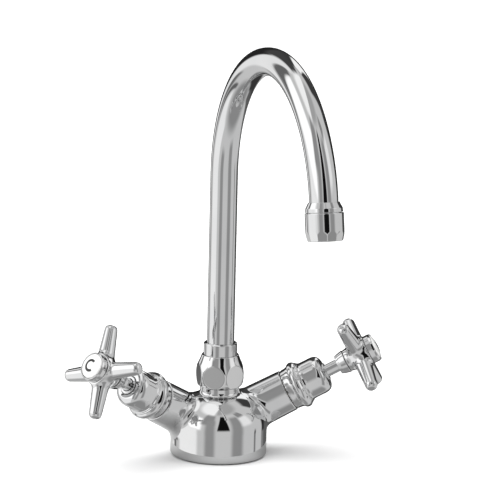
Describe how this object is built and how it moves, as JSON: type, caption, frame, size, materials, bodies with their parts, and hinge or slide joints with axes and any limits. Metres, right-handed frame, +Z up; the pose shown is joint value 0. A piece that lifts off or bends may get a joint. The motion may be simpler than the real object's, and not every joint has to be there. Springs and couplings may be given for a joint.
{
  "type": "basin mixer tap",
  "caption": "Bathroom basin mixer: cast body with raised side arms, cross handles with rising spindles, and a swivelling gooseneck spout with an aerator.",
  "frame": {"origin": "middle of the foot's underside, where it meets the basin", "axes": "+Z up along the column; the spout at rest and both arms reach towards -Y; the cold valve is at -X and the hot valve at +X"},
  "size_m": [0.2185, 0.2192, 0.2837],
  "materials": {
    "chrome": "bright polished chrome plate",
    "brass": "machined brass",
    "steel": "plain stainless steel",
    "rubber": "moulded black rubber",
    "fibre": "red vulcanised fibre",
    "acetal": "moulded white acetal",
    "enamel": "glossy white index button"
  },
  "bodies": {
    "root": {"body": "chrome", "base_gasket": "rubber", "spout_nut": "chrome", "slide_ring_lower": "acetal", "slide_ring_upper": "acetal", "valve_seat_left": "brass", "headwork_left": "brass", "headwork_seal_left": "fibre", "stem_oring_inner_left": "rubber", "stem_oring_outer_left": "rubber", "gland_ring_left": "chrome", "bonnet_left": "chrome", "valve_seat_right": "brass", "headwork_right": "brass", "headwork_seal_right": "fibre", "stem_oring_inner_right": "rubber", "stem_oring_outer_right": "rubber", "gland_ring_right": "chrome", "bonnet_right": "chrome"},
    "spout": {"spout_tube": "chrome", "spout_collar": "chrome", "spout_tail": "brass", "tail_oring_lower": "rubber", "tail_oring_upper": "rubber", "outlet_ferrule": "chrome", "aerator_housing": "chrome", "aerator_seal": "rubber", "aerator_cartridge": "acetal", "aerator_screen_upper": "steel", "aerator_screen_lower": "steel"},
    "jumper_left": {"jumper_left": "brass", "jumper_washer_left": "rubber", "jumper_nut_left": "brass"},
    "valve_left": {"spindle_left": "chrome", "handle_collar_left": "chrome", "handle_left": "chrome", "handle_screw_left": "steel", "index_bezel_left": "chrome", "index_disc_left": "enamel"},
    "jumper_right": {"jumper_right": "brass", "jumper_washer_right": "rubber", "jumper_nut_right": "brass"},
    "valve_right": {"spindle_right": "chrome", "handle_collar_right": "chrome", "handle_right": "chrome", "handle_screw_right": "steel", "index_bezel_right": "chrome", "index_disc_right": "enamel"}
  },
  "joints": [
    {"name": "spout_swivel", "type": "hinge", "parent": "root", "child": "spout", "pos_m": [0, 0, 0.0604], "axis": [0, 0, 1], "continuous": true},
    {"name": "lift_left", "type": "slide", "parent": "root", "child": "jumper_left", "axis": [-0.8051, -0.3417, 0.4848], "range_m": [0, 0.00333]},
    {"name": "turn_left", "type": "hinge", "parent": "jumper_left", "child": "valve_left", "pos_m": [0, 0.0137, 0.013], "axis": [-0.8051, -0.3417, 0.4848], "range_deg": [0, 600]},
    {"name": "lift_right", "type": "slide", "parent": "root", "child": "jumper_right", "axis": [0.8051, -0.3417, 0.4848], "range_m": [0, 0.00333]},
    {"name": "turn_right", "type": "hinge", "parent": "jumper_right", "child": "valve_right", "pos_m": [0, 0.0137, 0.013], "axis": [0.8051, -0.3417, 0.4848], "range_deg": [0, 600]}
  ],
  "couplings": [
    {"joint": "turn_left", "follows": "lift_left", "rad_per_m": 3141.6},
    {"joint": "turn_right", "follows": "lift_right", "rad_per_m": 3141.6}
  ]
}
